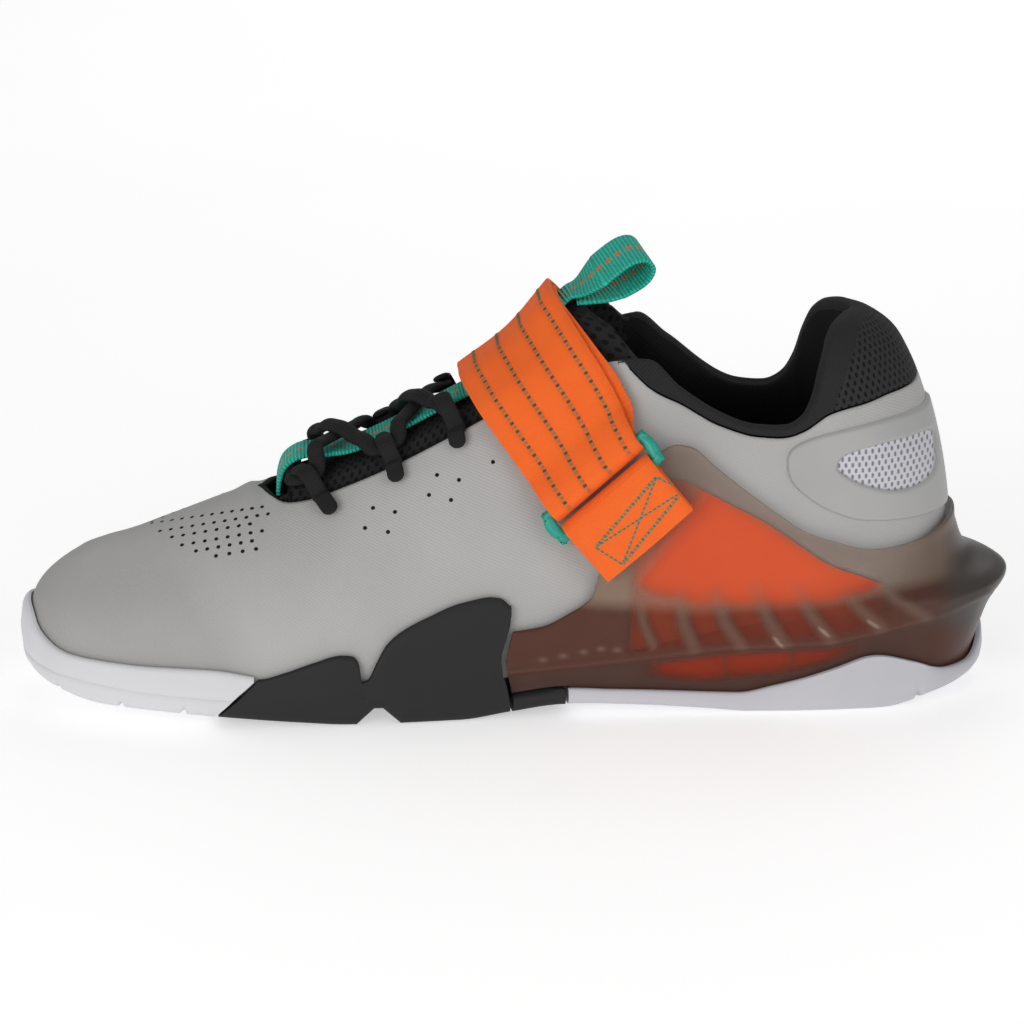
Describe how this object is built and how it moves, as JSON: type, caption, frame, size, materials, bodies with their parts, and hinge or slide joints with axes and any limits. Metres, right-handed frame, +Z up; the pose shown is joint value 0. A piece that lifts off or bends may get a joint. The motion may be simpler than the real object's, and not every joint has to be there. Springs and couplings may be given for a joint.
{
  "type": "weightlifting shoe",
  "caption": "Low training shoe for the right foot with a raised firm heel, laced throat, padded collar and an instep strap through a slotted ring.",
  "frame": {"origin": "middle of the heel's flat spot on the floor", "axes": "-X towards the toe, -Y towards the medial side, +Z up from the floor"},
  "size_m": [0.3003, 0.0981, 0.1364],
  "materials": {
    "shell": "light grey coated knit",
    "counter": "smooth grey film with a mesh window",
    "collar": "black air mesh",
    "tongue": "black padded mesh",
    "white_rubber": "satin white",
    "black_rubber": "matt black",
    "smoked_shell": "smoked, see-through, satin",
    "orange_core": "orange webbing and firm foam",
    "green_webbing": "ribbed teal green webbing",
    "insole": "black",
    "ring": "glossy dark teal",
    "strap": "neon orange webbing, stitched",
    "lace": "matt black weave"
  },
  "bodies": {
    "root": {"upper": "shell", "heel_counter": "counter", "collar": "collar", "toe_sole": "white_rubber", "midfoot_wrap": "black_rubber", "arch_plate": "black_rubber", "heel_outsole": "white_rubber", "heel_core": "orange_core", "heel_cage": "smoked_shell", "web_panel_medial": "orange_core", "web_panel_lateral": "orange_core", "insole": "insole", "tongue": "tongue", "tongue_webbing": "green_webbing", "lace": "lace", "strap": "strap", "strap_anchor": "strap", "strap_ring": "ring", "lace_loop_medial_1": "lace", "lace_loop_medial_2": "lace", "lace_loop_medial_3": "lace", "lace_loop_lateral_1": "lace", "lace_loop_lateral_2": "lace", "lace_loop_lateral_3": "lace"}
  },
  "joints": []
}
